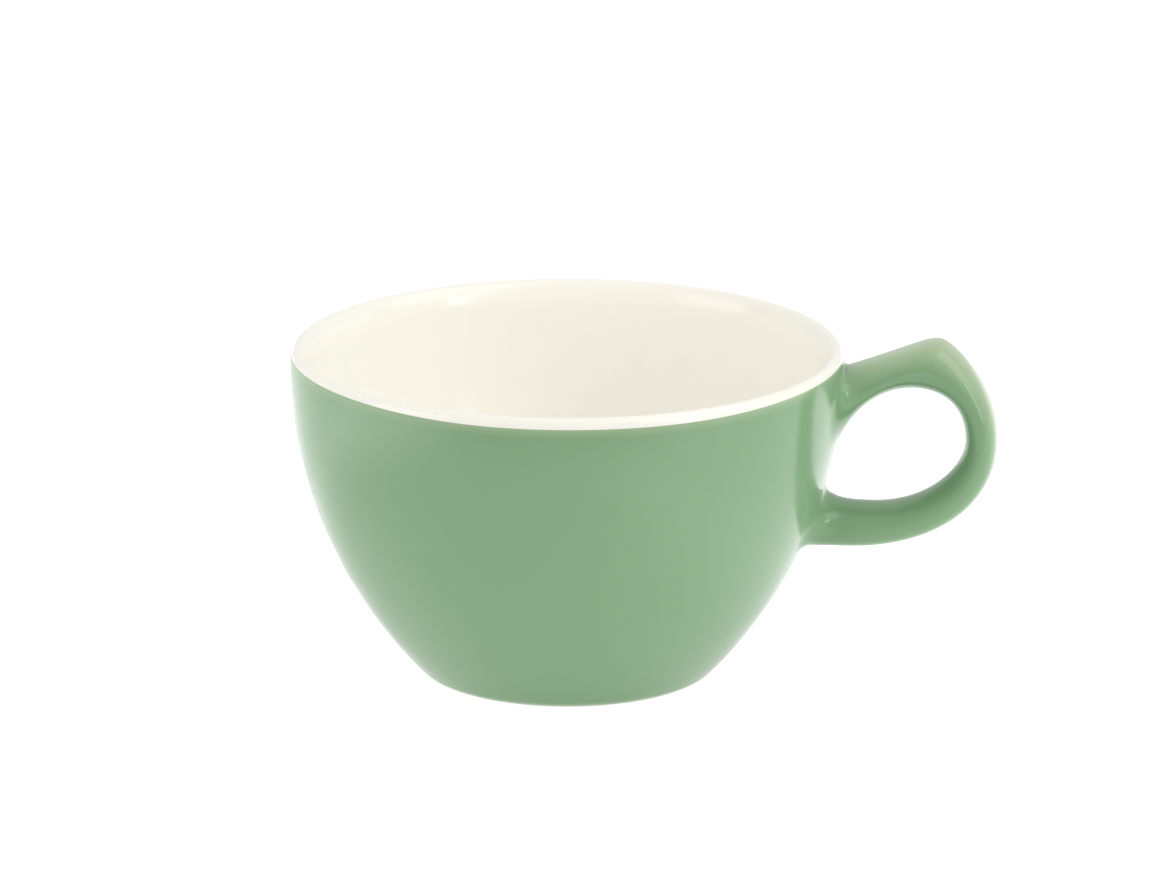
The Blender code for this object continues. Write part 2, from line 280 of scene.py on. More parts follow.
# Sizes that follow from the ones above
WALL_TOP = HEIGHT - LIP_ROUND
WELL_TOP = HEIGHT - LIP_DEPTH
CREST_RADIUS = RIM_RADIUS - LIP_EDGE
WELL_RIM_RADIUS = RIM_RADIUS - RIM_THICKNESS
WELL_FLOOR_RADIUS = FOOT_RADIUS - FLOOR_STEP
PATCH_HALF = PATCH_STEPS // 2


def belly_radius(top_radius, foot_radius, corner, rise):
    """Radius of the arc that stands upright at the top and runs smoothly into the corner arc at the foot."""
    run = top_radius - foot_radius
    return (run**2 + rise**2 - corner**2) / (2 * (run - corner))


def direction(start, end):
    """Angle of the line from one point of the profile to another."""
    return math.atan2(end[1] - start[1], end[0] - start[0])


BELLY_RADIUS = belly_radius(RIM_RADIUS, FOOT_RADIUS, CORNER_RADIUS, WALL_TOP - CORNER_RADIUS)
BELLY_MIDDLE = (RIM_RADIUS - BELLY_RADIUS, WALL_TOP)
CORNER_MIDDLE = (FOOT_RADIUS, CORNER_RADIUS)
TURN_ANGLE = direction(BELLY_MIDDLE, CORNER_MIDDLE)
BARE_ANGLE = math.acos(1 - BARE_FOOT_LIFT / CORNER_RADIUS) - math.pi / 2
WELL_CORNER_MIDDLE = (WELL_FLOOR_RADIUS, FLOOR_HEIGHT + WELL_CORNER_RADIUS)
WELL_RADIUS = belly_radius(
    WELL_RIM_RADIUS, WELL_FLOOR_RADIUS, WELL_CORNER_RADIUS, WELL_TOP - WELL_CORNER_MIDDLE[1]
)
WELL_MIDDLE = (WELL_RIM_RADIUS - WELL_RADIUS, WELL_TOP)
WELL_TURN_ANGLE = direction(WELL_MIDDLE, WELL_CORNER_MIDDLE)
TURN_DROP = HEIGHT - BELLY_MIDDLE[1] - BELLY_RADIUS * math.sin(TURN_ANGLE)

# First rows of the two patches in the coat's grid
UPPER_ROW = LIP_ROWS
LOWER_ROW = UPPER_ROW + PATCH_STEPS + 1


def between(start, end, steps):
    """Evenly spaced numbers from start to end, both included."""
    return [start + (end - start) * index / steps for index in range(steps + 1)]


# Turns round the axis at which the profiles are drawn
TURNS = between(0.0, math.tau, SEGMENTS)[:-1]


def around(middle, radius, angle):
    """Point (radius, height) of the profile, at a distance and an angle from a middle."""
    return (middle[0] + radius * math.cos(angle), middle[1] + radius * math.sin(angle))


def round_axis(radius, turn, height):
    """Point at a radius, a turn round the bowl's axis and a height."""
    return Vector((radius * math.cos(turn), radius * math.sin(turn), height))


def ellipse(middle, across, upright, start, end, steps):
    """Points (radius, height) along part of an ellipse of the profile, both ends included."""
    return [
        (middle[0] + across * math.cos(angle), middle[1] + upright * math.sin(angle))
        for angle in between(start, end, steps)
    ]


def arc(middle, radius, start, end, steps):
    """Points (radius, height) along an arc of the profile, both ends included."""
    return ellipse(middle, radius, radius, start, end, steps)


def inner_wall(inset):
    """Inside of the bowl from the middle of the floor up to the crest of the lip."""
    floor = [(radius, FLOOR_HEIGHT - inset) for radius in between(0.0, WELL_FLOOR_RADIUS, FLOOR_STEPS)]
    corner = arc(
        WELL_CORNER_MIDDLE, WELL_CORNER_RADIUS + inset, -math.pi / 2, WELL_TURN_ANGLE, CORNER_STEPS
    )
    well = arc(WELL_MIDDLE, WELL_RADIUS + inset, WELL_TURN_ANGLE, 0.0, WELL_STEPS)
    across = RIM_THICKNESS - LIP_EDGE - inset
    lip = ellipse((CREST_RADIUS, WELL_TOP), across, LIP_DEPTH - inset, math.pi, math.pi / 2, LIP_STEPS)
    return floor + corner[1:] + well[1:] + lip[1:]


def outer_lip(inset, drop):
    """Outer side of the lip, from its crest down to a drop below it."""
    middle = (CREST_RADIUS, WALL_TOP)
    end = math.asin(1.0 - drop / LIP_ROUND)
    return ellipse(middle, LIP_EDGE - inset, LIP_ROUND - inset, math.pi / 2, end, LIP_STEPS)


def wall_radius(height):
    """Finished outside radius of the bowl at a height on its belly or its lip."""
    if height > WALL_TOP:
        lift = min(1.0, (height - WALL_TOP) / LIP_ROUND)
        return CREST_RADIUS + LIP_EDGE * math.sqrt(1.0 - lift**2)
    return BELLY_MIDDLE[0] + math.sqrt(BELLY_RADIUS**2 - (WALL_TOP - height) ** 2)


def wall_point(turn, drop):
    """Point of the finished outside, at a turn round the axis and a drop below the rim's top."""
    height = HEIGHT - drop
    return round_axis(wall_radius(height), turn, height)


def line_drop(turn):
    """Drop of the line between the white and the green coat: lower at the front, and wandering a little."""
    sag = LINE_SAG * max(0.0, math.cos(turn - LINE_SAG_TURN)) ** 2
    wander = sum(share * math.sin(count * turn + start) for count, start, share in LINE_RIPPLES)
    return LINE_DROP + sag + LINE_WAVE * wander


def heading(angle):
    """Unit step in the handle's plane, turned up from straight out."""
    return Vector((math.cos(angle), 0.0, math.sin(angle)))


OUT = heading(0.0)
DOWN = heading(-math.pi / 2)
IN = heading(math.pi)
SIDE = Vector((0.0, 1.0, 0.0))


def spread(line, steps):
    """Evenly spaced points along a line of points, both ends included."""
    lengths = [0.0]
    for before, after in zip(line, line[1:]):
        lengths.append(lengths[-1] + (after - before).length)
    points = [line[0]]
    for target in between(0.0, lengths[-1], steps)[1:-1]:
        place = next(index for index, length in enumerate(lengths) if length >= target)
        share = (target - lengths[place - 1]) / (lengths[place] - lengths[place - 1])
        points.append(line[place - 1].lerp(line[place], share))
    return points + [line[-1]]


def bend(start, start_heading, start_hold, end, end_heading, end_hold, steps):
    """Evenly spaced points on a smooth bend between two points, where each end holds its own heading."""
    run = (end - start).length
    leave = start + start_heading * start_hold * run
    arrive = end - end_heading * end_hold * run
    return spread(interpolate_bezier(start, leave, arrive, end, BEND_FINENESS * steps), steps)[1:]


def beside_rim(out, drop):
    """Point in the handle's plane, given from the rim's outer edge and top."""
    return Vector((RIM_RADIUS + out, 0.0, HEIGHT - drop))


def outer_guide():
    """The handle's outer edge: up the arm, round the peak, down the back and under to the lower root."""
    root = wall_point(0.0, UPPER_ROOT_DROP)
    peak = beside_rim(PEAK_OUT, -PEAK_RISE)
    back = beside_rim(HANDLE_REACH, BACK_DROP)
    heel = beside_rim(HEEL_OUT, HEEL_DROP)
    end = wall_point(0.0, HEEL_DROP)
    points = [root]
    points += bend(root, heading(RISE_ANGLE), ARM_HOLD, peak, OUT, PEAK_HOLD_IN, BEND_STEPS)
    points += bend(peak, OUT, PEAK_HOLD_OUT, back, DOWN, BACK_HOLD_IN, BEND_STEPS)
    points += bend(back, DOWN, BACK_HOLD_OUT, heel, IN, HEEL_HOLD, BEND_STEPS)
    points += bend(heel, IN, STRAIGHT_HOLD, end, IN, STRAIGHT_HOLD, ROOT_STEPS)
    return points


def inner_guide():
    """The edge of the finger hole, with as many points as the outer edge."""
    root = wall_point(0.0, UPPER_ROOT_DROP + UPPER_ROOT_HEIGHT)
    top = beside_rim(PEAK_OUT - HOLE_TOP_SHIFT, PEAK_THICKNESS - PEAK_RISE)
    side = beside_rim(HANDLE_REACH - BACK_THICKNESS, BACK_DROP)
    floor = beside_rim(HEEL_OUT + HOLE_FLOOR_SHIFT, HEEL_DROP - HEEL_THICKNESS)
    end = wall_point(0.0, HEEL_DROP - LOWER_ROOT_HEIGHT)
    points = [root]
    points += bend(root, heading(UNDER_ARM_ANGLE), UNDER_ARM_HOLD, top, OUT, HOLE_TOP_HOLD_IN, BEND_STEPS)
    points += bend(top, OUT, HOLE_TOP_HOLD_OUT, side, DOWN, HOLE_SIDE_HOLD_IN, BEND_STEPS)
    points += bend(side, DOWN, HOLE_SIDE_HOLD_OUT, floor, IN, HOLE_FLOOR_HOLD_IN, BEND_STEPS)
    rise = heading(math.pi - HOLE_CORNER_ANGLE)
    points += bend(floor, IN, HOLE_FLOOR_HOLD_OUT, end, rise, HOLE_CORNER_HOLD, ROOT_STEPS)
    return points


def off_wall(point):
    """How far a point lies outside the bowl, measured level."""
    return math.hypot(point.x, point.y) - wall_radius(point.z)


def rounded(value, power):
    """Coordinate on a rounded section for a sine or a cosine: the higher the power, the squarer."""
    return math.copysign(abs(value) ** (2 / power), value)


def section(outer, inner):
    """Cross-section of the handle between a point of each guide: flatter outside, rounder in the hole."""
    middle = (outer + inner) / 2
    half = (outer - inner) / 2
    flare = ROOT_FLARE * max(0.0, 1.0 - max(0.0, off_wall(middle)) / FLARE_LENGTH) ** 2
    points = []
    for index in range(SECTION_POINTS):
        angle = math.tau * index / SECTION_POINTS
        power = OUTER_POWER if math.cos(angle) > 0.0 else INNER_POWER
        across = SIDE * (HANDLE_WIDTH / 2 + flare) * rounded(math.sin(angle), power)
        points.append(middle + half * rounded(math.cos(angle), power) + across)
    return points


def leave_wall(line):
    """What lies outside the bowl of a line that runs out through the wall, starting on the wall."""
    for index, (before, after) in enumerate(zip(line, line[1:])):
        if off_wall(after) > 0.0:
            share = off_wall(before) / (off_wall(before) - off_wall(after))
            return [before.lerp(after, share)] + list(line[index + 1 :])
    raise ValueError("the line stays inside the bowl")


def walk(line, length):
    """The rest of a line once a length has been walked along it."""
    for index, (before, after) in enumerate(zip(line, line[1:])):
        step = (after - before).length
        if length < step:
            return [before.lerp(after, length / step)] + list(line[index + 1 :])
        length -= step
    raise ValueError("the line is shorter than the walk")


def wall_place(point):
    """Turn round the axis and drop below the rim's top of a point."""
    return Vector((math.atan2(point.y, point.x), HEIGHT - point.z))


def fillet_feet(crossings, reaches):
    """Places on the wall where the fillet round a root runs out, each square off the outline of the root."""
    places = [wall_place(point) for point in crossings]
    middle = sum(places, Vector((0.0, 0.0))) / len(places)
    feet = []
    for index, place in enumerate(places):
        radius = wall_radius(HEIGHT - place.y)
        along = places[(index + 1) % len(places)] - places[index - 1]
        outward = Vector((along.y, -along.x * radius)).normalized()
        away = place - middle
        if outward.x * away.x * radius + outward.y * away.y < 0.0:
            outward = -outward
        feet.append(place + Vector((outward.x / radius, outward.y)) * reaches[index])
    return feet


class Coat:
    """The green coat over bowl and handle, drawn as one skin and then split into its two pieces."""

    BOWL, HANDLE = 0, 1

    def __init__(self):
        self.skin = bmesh.new()
        self.part = self.skin.faces.layers.int.new("part")
        # Share of thin glaze and painted light at each corner
        self.thin_and_lit = self.skin.verts.layers.float.new("thin_and_lit")
        # Share of pooled glaze and painted shade at each corner
        self.pool = self.skin.verts.layers.float.new("pool")

    def corner(self, point, thin_and_lit=0.0, pool=0.0):
        """Adds a point of the skin, with its share of thin glaze and painted light, and its share of pooled
        glaze and painted shade.
        """
        made = self.skin.verts.new(point)
        made[self.thin_and_lit] = thin_and_lit
        made[self.pool] = pool
        return made

    def face(self, corners, part):
        """Adds a face to one of the two parts."""
        self.skin.faces.new(corners)[self.part] = part

    def ring(self, points, thin_and_lit=0.0, pool=0.0):
        """Adds a closed row of points."""
        return [self.corner(point, thin_and_lit, pool) for point in points]

    def join(self, before, after, part):
        """Closes the gap between two rings."""
        for index in range(len(before)):
            following = (index + 1) % len(before)
            self.face((before[index], before[following], after[following], after[index]), part)


def coat_profile(turn):
    """Profile of the green coat at a turn round the axis, from the glaze line down to the foot."""
    line = line_drop(turn)
    drops = between(line, line + UPPER_PATCH_START, LIP_ROWS)
    drops += between(line + UPPER_PATCH_START, UPPER_PATCH_END, PATCH_STEPS)[1:]
    drops += between(LOWER_PATCH_START, LOWER_PATCH_END, PATCH_STEPS)
    drops += between(LOWER_PATCH_END, TURN_DROP, BELLY_STEPS)[1:]
    belly = [(wall_radius(HEIGHT - drop), HEIGHT - drop) for drop in drops]
    corner = arc(CORNER_MIDDLE, CORNER_RADIUS, TURN_ANGLE, BARE_ANGLE, CORNER_STEPS)
    edge_middle = around(CORNER_MIDDLE, CORNER_RADIUS - COAT_EDGE, BARE_ANGLE)
    edge = arc(edge_middle, COAT_EDGE, BARE_ANGLE, BARE_ANGLE - math.pi / 2, EDGE_STEPS)
    return belly + corner[1:] + edge[1:]


def faded(distance, reach):
    """Share that is left at a distance of what falls off smoothly over a reach."""
    return math.exp(-((distance / reach) ** 2))


def thin_share(distance):
    """How far the glaze has thinned at a distance from the edge of its coat."""
    return LINE_THIN * faded(distance, THIN_REACH)


def foot_shade(height):
    """Share of painted shade at a height above the table, strongest at the foot, where the table's shadow
    falls.
    """
    return FOOT_SHADE * math.exp(-height / FOOT_SHADE_RISE)


def face_in_patch(row, column):
    """Whether a face of the bowl's grid belongs to one of the two patches round the handle's roots."""
    near = column < PATCH_HALF or column >= SEGMENTS - PATCH_HALF
    return near and any(first <= row < first + PATCH_STEPS for first in (UPPER_ROW, LOWER_ROW))


def corner_in_patch(row, column):
    """Whether a corner of the bowl's grid lies inside one of the two patches."""
    near = column < PATCH_HALF or column > SEGMENTS - PATCH_HALF
    return near and any(first < row < first + PATCH_STEPS for first in (UPPER_ROW, LOWER_ROW))


def patch_loop(grid, first_row, step):
    """Points round a patch, from the middle of its first row towards +Y."""
    last_row = first_row + step * PATCH_STEPS
    loop = [grid[first_row][column] for column in range(PATCH_HALF)]
    loop += [grid[first_row + step * index][PATCH_HALF] for index in range(PATCH_STEPS)]
    loop += [grid[last_row][column] for column in range(PATCH_HALF, -PATCH_HALF, -1)]
    loop += [grid[last_row - step * index][-PATCH_HALF] for index in range(PATCH_STEPS)]
    loop += [grid[first_row][column] for column in range(-PATCH_HALF, 0)]
    return loop


def handle_ring(coat, before, points, strength, pool):
    """Joins the handle's next ring to the one before, with thin glaze and painted light on the outer side
    near the peak, and painted shade on the flanks.
    """
    ring = coat.ring(points, 0.0, pool)
    peak = beside_rim(PEAK_OUT, -PEAK_RISE)
    for index, corner in enumerate(ring):
        turn = math.tau * index / SECTION_POINTS
        lean = max(0.0, math.cos(turn))
        distance = (corner.co - peak).length
        # Thin glaze with painted light on the outer side round the peak
        corner[coat.thin_and_lit] = strength * PEAK_THIN_AND_LIGHT * lean * faded(distance, PEAK_THIN_AND_LIGHT_REACH)
        # Painted shade on both flanks, added to the pooled glaze and painted shade that the ring brings
        corner[coat.pool] = pool + strength * FLANK_SHADE * math.sin(turn) ** 2
    coat.join(before, ring, Coat.HANDLE)
    return ring


def grow_root(coat, loop, lines, reaches):
    """Leads the skin from a patch's edge over the wall, up the fillet and out to the handle's free part."""
    outside = [leave_wall(line) for line in lines]
    crossings = [line[0] for line in outside]
    free = [walk(line, reach) for line, reach in zip(outside, reaches)]
    feet = fillet_feet(crossings, reaches)
    edges = [wall_place(corner.co) for corner in loop]
    before = loop
    for share in between(0.0, 1.0, APRON_STEPS)[1:]:
        places = [edge.lerp(foot, share) for edge, foot in zip(edges, feet)]
        # Pooled glaze with painted shade, growing over the wall towards the fillet
        ring = coat.ring([wall_point(place.x, place.y) for place in places], 0.0, ROOT_POOL_AND_SHADE * share**2 / 2)
        for corner, place in zip(ring, places):
            corner[coat.thin_and_lit] = thin_share(place.y - line_drop(place.x))
        coat.join(before, ring, Coat.BOWL)
        before = ring
    ends = [corner.co.copy() for corner in before]
    for share in between(0.0, 1.0, FILLET_STEPS)[1:]:
        points = []
        for end, crossing, line in zip(ends, crossings, free):
            points.append((1 - share) ** 2 * end + 2 * share * (1 - share) * crossing + share**2 * line[0])
        # Pooled glaze with painted shade, strongest halfway up the fillet
        before = handle_ring(coat, before, points, share, ROOT_POOL_AND_SHADE * (1.0 - abs(0.5 - share)))
    leads = [spread(line, LEAD_STEPS) for line in free]
    for index in range(1, LEAD_STEPS + 1):
        points = [lead[index] for lead in leads]
        # Pooled glaze with painted shade, fading out along the handle
        before = handle_ring(coat, before, points, 1.0, ROOT_POOL_AND_SHADE * (1 - index / LEAD_STEPS) / 2)
    return before


def draw_coat():
    """Draws the green coat on the bowl as a grid, with a gap for each root of the handle."""
    coat = Coat()
    profiles = [coat_profile(turn) for turn in TURNS]
    grid = []
    for row in range(len(profiles[0])):
        corners = []
        for column, turn in enumerate(TURNS):
            if corner_in_patch(row, column):
                corners.append(None)
                continue
            radius, height = profiles[column][row]
            edge_distance = min(HEIGHT - height - line_drop(turn), height - BARE_FOOT_LIFT)
            point = round_axis(radius, turn, height)
            # Each corner carries thin glaze near the coat's edges and painted shade above the foot
            corners.append(coat.corner(point, thin_share(edge_distance), foot_shade(height)))
        grid.append(corners)
    for row in range(len(grid) - 1):
        for column in range(SEGMENTS):
            if face_in_patch(row, column):
                continue
            following = (column + 1) % SEGMENTS
            above = (grid[row][following], grid[row][column])
            coat.face(above + (grid[row + 1][column], grid[row + 1][following]), Coat.BOWL)
    return coat, grid


def fillet_reaches(outer, side, inner):
    """Reach of a fillet all round a root, from the outer edge over a side to the inner edge and back."""
    reaches = []
    for index in range(SECTION_POINTS):
        lean = math.cos(math.tau * index / SECTION_POINTS)
        end = outer if lean > 0.0 else inner
        reaches.append(side + (end - side) * lean**2)
    return reaches


def draw_handle(coat, grid):
    """Adds the handle to the coat, from the upper root to the lower one."""
    rings = [section(outer, inner) for outer, inner in zip(outer_guide(), inner_guide())]
    bite = IN * ROOT_BITE
    rings.insert(0, [point + bite for point in rings[0]])
    rings.append([point + bite for point in rings[-1]])
    lines = list(zip(*rings))
    upper_lines = [line[:ROOT_RINGS] for line in lines]
    lower_lines = [line[::-1][:ROOT_RINGS] for line in lines]
    upper_loop = patch_loop(grid, UPPER_ROW, 1)
    lower_loop = patch_loop(grid, LOWER_ROW + PATCH_STEPS, -1)
    before = grow_root(coat, upper_loop, upper_lines, fillet_reaches(*UPPER_FILLET))
    last = grow_root(coat, lower_loop, lower_lines, fillet_reaches(*LOWER_FILLET))
    for points in rings[ROOT_RINGS:-ROOT_RINGS]:
        before = handle_ring(coat, before, points, 1.0, 0.0)
    coat.join(before, last, Coat.HANDLE)


# Kinds of face on a thickened coat
FRONT, BACK, EDGE = 0, 1, 2


def thicken(skin, smooth, kind):
    """Gives an open skin the thickness of the glaze: a back to every face, and a strip round every edge."""
    faces = list(skin.faces)
    edges = [edge for edge in skin.edges if edge.is_boundary]
    backs = {}
    for corner in list(skin.verts):
        backs[corner] = skin.verts.new(corner.co - corner[smooth] * GLAZE_THICKNESS, corner)
    for face in faces:
        skin.faces.new([backs[corner] for corner in reversed(face.verts)])[kind] = BACK
    for edge in edges:
        loop = edge.link_loops[0]
        start, end = loop.vert, loop.link_loop_next.vert
        skin.faces.new((end, start, backs[start], backs[end]))[kind] = EDGE


def add_piece(name, mesh, nodes, material):
    """Puts a mesh on the cup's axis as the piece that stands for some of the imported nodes."""
    piece = bpy.data.objects.new(name, mesh)
    piece.location.x = AXIS_X
    bpy.context.collection.objects.link(piece)
    mesh.materials.append(material)
    bpy.context.view_layer.update()
    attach(piece, "root")
    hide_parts(*nodes)


def split_coat(coat, part, name):
    """Mesh of one part of the coat, which keeps the whole skin's shading so that no seam shows."""
    skin = coat.skin.copy()
    part_layer = skin.faces.layers.int["part"]
    smooth = skin.verts.layers.float_vector["smooth"]
    kind = skin.faces.layers.int.new("kind")
    others = [face for face in skin.faces if face[part_layer] != part]
    bmesh.ops.delete(skin, geom=others, context="FACES")
    thicken(skin, smooth, kind)
    skin.normal_update()
    mesh = bpy.data.meshes.new(name)
    skin.to_mesh(mesh)
    skin.free()
    mesh.shade_smooth()
    normals = []
    corner_normals = [item.vector.copy() for item in mesh.attributes["smooth"].data]
    kinds = [item.value for item in mesh.attributes["kind"].data]
    for polygon, side in zip(mesh.polygons, kinds):
        for corner in polygon.vertices:
            if side == EDGE:
                normals.append(polygon.normal.copy())
            else:
                normals.append(corner_normals[corner] if side == FRONT else -corner_normals[corner])
    mesh.normals_split_custom_set(normals)
    for leftover in ("smooth", "kind", "part"):
        mesh.attributes.remove(mesh.attributes[leftover])
    return mesh


def revolve(name, profile):
    """Closed mesh of a profile, worked out for each turn round the axis. Points on the axis become poles."""
    solid = bmesh.new()
    outlines = [profile(turn) for turn in TURNS]
    rows = []
    for index, (first_radius, first_height) in enumerate(outlines[0]):
        if first_radius < POLE_RADIUS:
            rows.append([solid.verts.new((0.0, 0.0, first_height))] * SEGMENTS)
            continue
        corners = []
        for turn, outline in zip(TURNS, outlines):
            radius, height = outline[index]
            corners.append(solid.verts.new(round_axis(radius, turn, height)))
        rows.append(corners)
    if outlines[0][-1][0] >= POLE_RADIUS:
        rows.append(rows[0])
    for before, after in zip(rows, rows[1:]):
        for column in range(SEGMENTS):
            following = (column + 1) % SEGMENTS
            corners = (before[column], before[following], after[following], after[column])
            distinct = list(dict.fromkeys(corners))
            if len(distinct) > 2:
                solid.faces.new(distinct)
    bmesh.ops.recalc_face_normals(solid, faces=solid.faces)
    mesh = bpy.data.meshes.new(name)
    solid.to_mesh(mesh)
    solid.free()
    mesh.shade_smooth()
    mesh.set_sharp_from_angle(angle=SHARP_EDGE)
    return mesh


def white_coat_mesh():
    """White coat over the floor, the wall and the lip, down to the wandering glaze line."""

    def profile(turn):
        """Outline of the coat at a turn round the axis."""
        drop = line_drop(turn)
        face = inner_wall(0.0) + outer_lip(0.0, drop)[1:]
        back = inner_wall(GLAZE_THICKNESS) + outer_lip(GLAZE_THICKNESS, drop)[1:]
        return face + back[::-1]

    mesh = revolve("white_coat", profile)
    thin_and_lit = mesh.attributes.new("thin_and_lit", "FLOAT", "POINT")
    for vertex, item in zip(mesh.vertices, thin_and_lit.data):
        outside = math.hypot(vertex.co.x, vertex.co.y) > CREST_RADIUS
        drop = 0.0 if outside else HEIGHT - vertex.co.z
        item.value = LIP_THIN * faded(drop, LIP_THIN_REACH)
    return mesh


def clay_bowl_mesh():
    """Clay bowl under its coats, with the bare foot ring, its softened edges and the recess inside it."""
    inset = GLAZE_THICKNESS + COAT_GAP
    outline = inner_wall(inset) + outer_lip(inset, LIP_ROUND)[1:]
    outline += arc(BELLY_MIDDLE, BELLY_RADIUS - inset, 0.0, TURN_ANGLE, WELL_STEPS)[1:]
    outline += arc(CORNER_MIDDLE, CORNER_RADIUS - inset, TURN_ANGLE, BARE_ANGLE, CORNER_STEPS)[1:]
    for angle in between(BARE_ANGLE, -math.pi / 2, CORNER_STEPS)[1:]:
        left = 1.0 - (BARE_ANGLE - angle) / (BARE_ANGLE + math.pi / 2)
        radius = CORNER_RADIUS - BARE_INSET * left**2
        outline.append(around(CORNER_MIDDLE, radius, angle))
    ring_inside = FOOT_RADIUS - FOOT_WIDTH
    outline += arc((ring_inside + RING_EDGE, RING_EDGE), RING_EDGE, -math.pi / 2, -math.pi, EDGE_STEPS)
    recess_edge = ring_inside - RECESS_DRAFT
    middle = (recess_edge - RECESS_EDGE, FOOT_RECESS - RECESS_EDGE)
    outline += arc(middle, RECESS_EDGE, 0.0, math.pi / 2, EDGE_STEPS)
    outline += [(radius, FOOT_RECESS) for radius in between(middle[0], 0.0, FLOOR_STEPS)[1:]]
    return revolve("clay_bowl", lambda turn: outline)


def base_coat_mesh():
    """Green coat in the recess under the foot, with a rounded edge."""
    edge = FOOT_RADIUS - FOOT_WIDTH - RECESS_DRAFT - RECESS_EDGE
    top = FOOT_RECESS - COAT_GAP
    outline = [(radius, top) for radius in between(0.0, edge, FLOOR_STEPS)]
    middle = (edge, top - GLAZE_THICKNESS)
    outline += arc(middle, GLAZE_THICKNESS, math.pi / 2, -math.pi / 2, 2 * EDGE_STEPS)[1:]
    low = top - 2 * GLAZE_THICKNESS
    outline += [(radius, low) for radius in between(edge, 0.0, FLOOR_STEPS)[1:]]
    return revolve("base_coat", lambda turn: outline)


def feed(tree, node, inputs):
    """Feeds a node's inputs with plain values or with other nodes' outputs."""
    for name, value in inputs.items():
        if isinstance(value, bpy.types.NodeSocket):
            tree.links.new(value, node.inputs[name])
        else:
            node.inputs[name].default_value = value


def add_node(tree, kind, inputs=None, **settings):
    """Adds a shader node, sets its options and feeds its inputs."""
    node = tree.nodes.new(kind)
    for option, value in settings.items():
        setattr(node, option, value)
    feed(tree, node, inputs or {})
    return node


def own_place(tree):
    """A piece's own coordinates."""
    return add_node(tree, "ShaderNodeTexCoord").outputs["Object"]


def own_axes(tree):
    """A piece's own coordinates, with an output for each axis."""
    return add_node(tree, "ShaderNodeSeparateXYZ", {0: own_place(tree)}).outputs


def noise(tree, scale, detail):
    """Noise in the piece's own coordinates; the scale is in waves per metre."""
    inputs = {"Vector": own_place(tree), "Scale": scale, "Detail": detail}
    return add_node(tree, "ShaderNodeTexNoise", inputs).outputs["Fac"]


def graded(tree, value, low, high, to_low=0.0, to_high=1.0):
    """Smooth step of a value from one range to another."""
    inputs = {"Value": value, "From Min": low, "From Max": high, "To Min": to_low, "To Max": to_high}
    return add_node(tree, "ShaderNodeMapRange", inputs, interpolation_type="SMOOTHSTEP").outputs["Result"]


def patches(tree, scale, detail, low, high, to_low=0.0, to_high=1.0):
    """Soft patches of noise: one value where the noise is low and another where it is high."""
    return graded(tree, noise(tree, scale, detail), low, high, to_low, to_high)


def bumps(tree, scale, detail, strength, depth):
    """Direction of a surface that noise makes slightly uneven."""
    inputs = {"Strength": strength, "Distance": depth, "Height": noise(tree, scale, detail)}
    return add_node(tree, "ShaderNodeBump", inputs).outputs["Normal"]


def blend(tree, share, first, second):
    """Mix of two colours by a share."""
    node = add_node(tree, "ShaderNodeMix", {0: share, 6: first, 7: second}, data_type="RGBA")
    return node.outputs[2]


def scaled(tree, value, factor):
    """A value times a factor."""
    return add_node(tree, "ShaderNodeMath", {0: value, 1: factor}, operation="MULTIPLY").outputs[0]


def added(tree, first, second):
    """Sum of two values."""
    return add_node(tree, "ShaderNodeMath", {0: first, 1: second}, operation="ADD").outputs[0]


def attribute(tree, name):
    """A number kept on the mesh's corners."""
    return add_node(tree, "ShaderNodeAttribute", attribute_name=name).outputs["Fac"]


def tinted(colour, factor):
    """A colour made lighter or darker by a factor."""
    return tuple(min(1.0, channel * factor) for channel in colour[:3]) + (1.0,)


def new_material(name):
    """An empty procedural material, its nodes and its shader."""
    material = bpy.data.materials.new(name)
    material.use_nodes = True
    return material, material.node_tree, material.node_tree.nodes["Principled BSDF"]


def glaze_material(name, colour, cloud, deep_and_shade, thin_and_lit, roughness):
    """Glossy fired glaze: faint clouds, fine specks, pooling with painted shade, thinning with painted
    light, and a hint of orange peel.
    """
    material, tree, shader = new_material(name)
    tint = blend(tree, patches(tree, *CLOUDS), colour, cloud)
    tint = blend(tree, scaled(tree, patches(tree, *SPECKS), SPECK_SHARE), tint, deep_and_shade)
    # Darker where the mesh carries pooled glaze and painted shade
    tint = blend(tree, attribute(tree, "pool"), tint, deep_and_shade)
    # Paler where the mesh carries thin glaze, and with painted light on the handle's peak
    tint = blend(tree, attribute(tree, "thin_and_lit"), tint, thin_and_lit)
    smoothest = roughness * (1.0 - GLOSS_SPREAD)
    roughest = roughness * (1.0 + GLOSS_SPREAD)
    gloss = patches(tree, *GLOSS, smoothest, roughest)
    surface = {"Base Color": tint, "Roughness": gloss, "Normal": bumps(tree, *PEEL), "IOR": GLAZE_IOR}
    feed(tree, shader, surface)
    return material


def clay_material(name, colour, dark):
    """Bare fired clay: matte, finely speckled, greyed where it rubs on the table."""
    material, tree, shader = new_material(name)
    tint = blend(tree, patches(tree, *MOTTLE), colour, tinted(colour, MOTTLE_SHADE))
    tint = blend(tree, scaled(tree, patches(tree, *GRAINS), GRAIN_SHARE), tint, dark)
    contact = graded(tree, own_axes(tree)["Z"], 0.0, CONTACT_HEIGHT, 1.0, 0.0)
    scuffs = scaled(tree, contact, patches(tree, *SCUFFS))
    tint = blend(tree, scaled(tree, scuffs, SCUFF_SHARE), tint, tinted(dark, SCUFF_SHADE))
    matte = patches(tree, *MATTE, *CLAY_ROUGHNESS)
    feed(tree, shader, {"Base Color": tint, "Roughness": matte, "Normal": bumps(tree, *TOOTH)})
    return material


